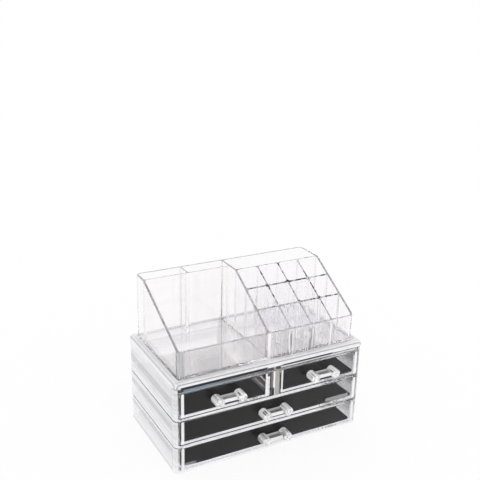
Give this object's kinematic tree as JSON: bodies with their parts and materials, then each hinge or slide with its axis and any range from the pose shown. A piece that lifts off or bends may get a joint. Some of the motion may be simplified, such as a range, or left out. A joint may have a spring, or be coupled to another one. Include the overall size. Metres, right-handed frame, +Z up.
{
  "type": "acrylic makeup organizer",
  "caption": "Clear acrylic cabinet of lined drawers with post handles, under a lift-off tray with sloped sides, a wide bay, tall rear slots and a rack of lipstick cells.",
  "frame": {"origin": "centre of the cabinet's underside, on the surface that it stands on", "axes": "+Z up; -Y towards the drawer fronts; +X to the right for someone who faces the drawers"},
  "size_m": [0.24, 0.1501, 0.1867],
  "materials": {
    "clear_acrylic": "polished, transparent",
    "liner_fabric": "matt, fine mesh"
  },
  "bodies": {
    "cabinet": {"bottom_tier": "clear_acrylic", "middle_tier": "clear_acrylic", "top_tier": "clear_acrylic", "top_deck": "clear_acrylic", "centre_divider": "clear_acrylic"},
    "drawer_bottom_unit": {"drawer_bottom": "clear_acrylic", "handle_bottom": "clear_acrylic", "liner_bottom": "liner_fabric"},
    "drawer_middle_unit": {"drawer_middle": "clear_acrylic", "handle_middle": "clear_acrylic", "liner_middle": "liner_fabric"},
    "drawer_top_left_unit": {"drawer_top_left": "clear_acrylic", "handle_top_left": "clear_acrylic", "liner_top_left": "liner_fabric"},
    "drawer_top_right_unit": {"drawer_top_right": "clear_acrylic", "handle_top_right": "clear_acrylic", "liner_top_right": "liner_fabric"},
    "tray_unit": {"tray_shell": "clear_acrylic", "slot_insert": "clear_acrylic", "lipstick_rack": "clear_acrylic"}
  },
  "joints": [
    {"name": "slide_bottom", "type": "slide", "parent": "cabinet", "child": "drawer_bottom_unit", "axis": [0, -1, 0], "range_m": [0, 0.11]},
    {"name": "slide_middle", "type": "slide", "parent": "cabinet", "child": "drawer_middle_unit", "axis": [0, -1, 0], "range_m": [0, 0.11]},
    {"name": "slide_top_left", "type": "slide", "parent": "cabinet", "child": "drawer_top_left_unit", "axis": [0, -1, 0], "range_m": [0, 0.11]},
    {"name": "slide_top_right", "type": "slide", "parent": "cabinet", "child": "drawer_top_right_unit", "axis": [0, -1, 0], "range_m": [0, 0.11]},
    {"name": "tray_lift", "type": "slide", "parent": "cabinet", "child": "tray_unit", "axis": [0, 0, 1], "range_m": [0, 0.09]}
  ]
}
